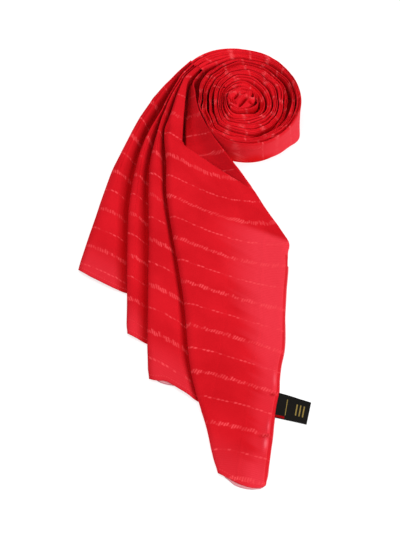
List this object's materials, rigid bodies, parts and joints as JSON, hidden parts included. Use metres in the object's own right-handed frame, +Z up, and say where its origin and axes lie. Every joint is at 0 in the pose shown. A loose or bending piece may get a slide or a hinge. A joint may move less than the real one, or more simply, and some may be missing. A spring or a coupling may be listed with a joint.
{
  "type": "crepe hijab",
  "caption": "Long red crepe head scarf with woven weft stripes, folded lengthwise, part wound on edge into a roll and part fanned out in overlapping pleats.",
  "frame": {"origin": "middle of the footprint of the laid-out cloth, on the surface it lies on", "axes": "+Y from the fan's hem towards the roll, +Z up"},
  "size_m": [0.2282, 0.4831, 0.0366],
  "materials": {
    "crepe_cloth": "matte crepe with dashed weft stripes",
    "label_satin": "woven satin"
  },
  "bodies": {
    "root": {"roll_core": "crepe_cloth", "roll_turn_1": "crepe_cloth", "roll_turn_2": "crepe_cloth", "roll_turn_3": "crepe_cloth", "roll_turn_4": "crepe_cloth", "roll_turn_5": "crepe_cloth", "roll_turn_6": "crepe_cloth", "roll_turn_7": "crepe_cloth", "roll_turn_8": "crepe_cloth", "fan_pleat_1": "crepe_cloth", "fan_pleat_2": "crepe_cloth", "fan_pleat_3": "crepe_cloth", "fan_pleat_4": "crepe_cloth", "fan_pleat_4_neck": "crepe_cloth", "fan_flap": "crepe_cloth", "under_layer": "crepe_cloth", "label": "label_satin"}
  },
  "joints": []
}
